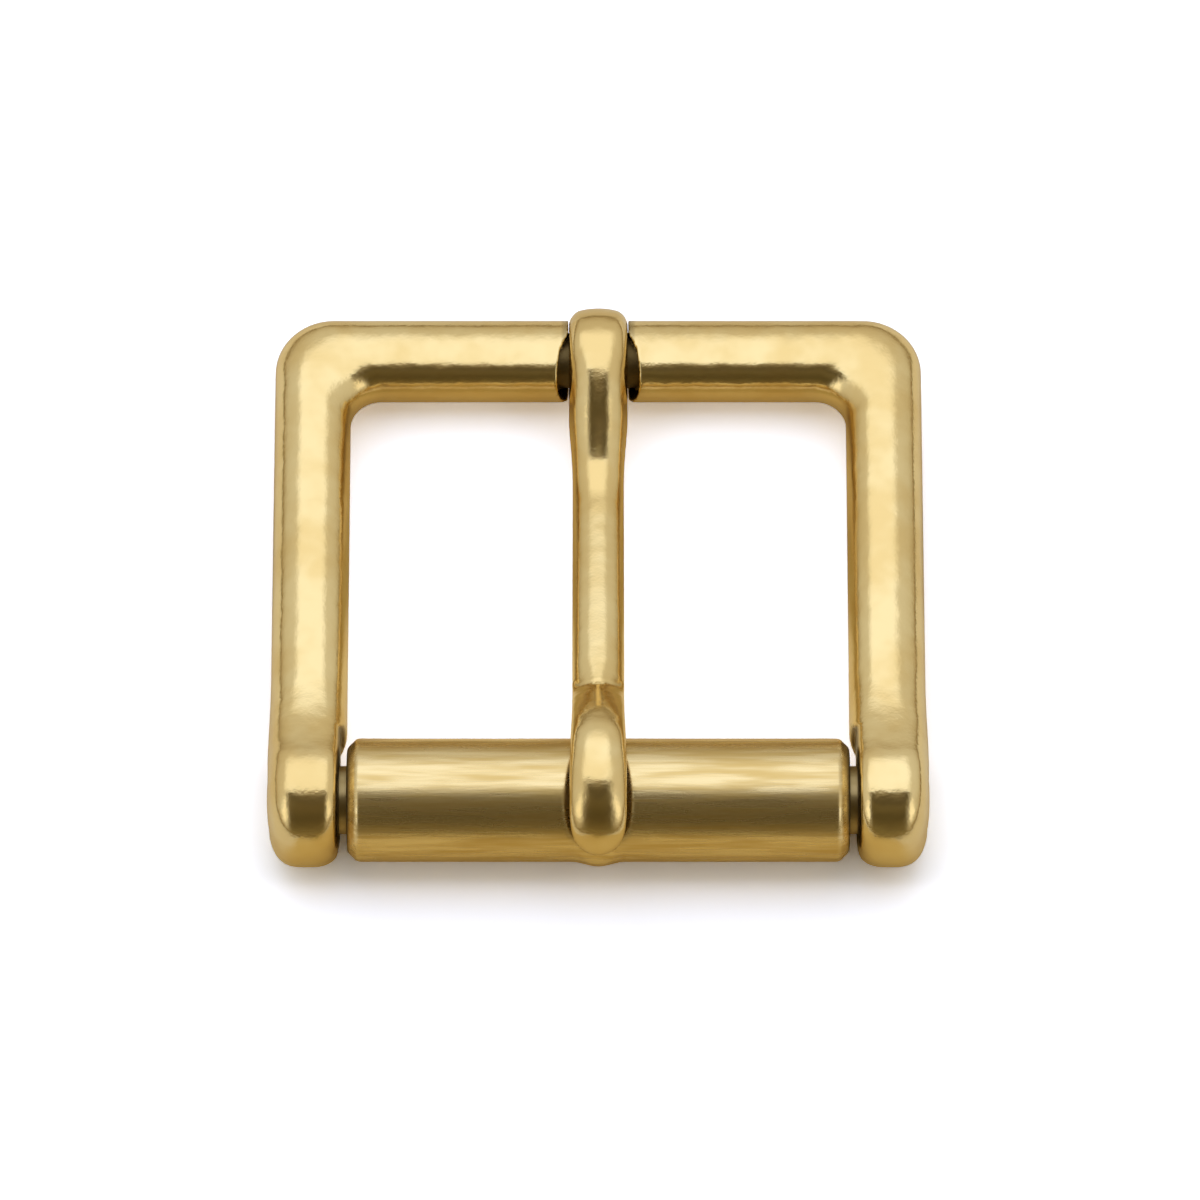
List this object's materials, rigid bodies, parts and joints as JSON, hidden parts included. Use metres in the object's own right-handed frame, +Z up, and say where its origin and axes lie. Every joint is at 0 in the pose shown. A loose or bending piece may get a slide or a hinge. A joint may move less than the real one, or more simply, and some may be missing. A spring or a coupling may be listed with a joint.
{
  "type": "roller buckle",
  "caption": "Belt buckle: a rounded brass frame with a free-turning roller on its front pin and a hinged tongue that is bent down over the roller.",
  "frame": {"origin": "middle of the buckle's box, on the surface that it lies on", "axes": "+X along the roller and the strap bar, +Y from the roller to the strap bar, +Z up, the side that shows when worn"},
  "size_m": [0.0528, 0.0496, 0.0121],
  "materials": {
    "frame": "cast solid brass, softly polished all over, with fine tumbling marks",
    "pin": "turned brass rod, domed and polished flush at both ends",
    "roller": "turned brass tube, satin with fine lines along its length",
    "tongue": "cast solid brass, polished, brightest along its back"
  },
  "bodies": {
    "frame": {"frame": "frame", "roller_pin": "pin"},
    "roller": {"roller": "roller"},
    "tongue": {"tongue": "tongue"}
  },
  "joints": [
    {"name": "tongue_hinge", "type": "hinge", "parent": "frame", "child": "tongue", "pos_m": [0, 0.02049, 0.00433], "axis": [-1, 0, 0], "range_deg": [0, 170]},
    {"name": "roller_spin", "type": "hinge", "parent": "frame", "child": "roller", "pos_m": [0, -0.0191, 0.0053], "axis": [1, 0, 0], "continuous": true}
  ]
}
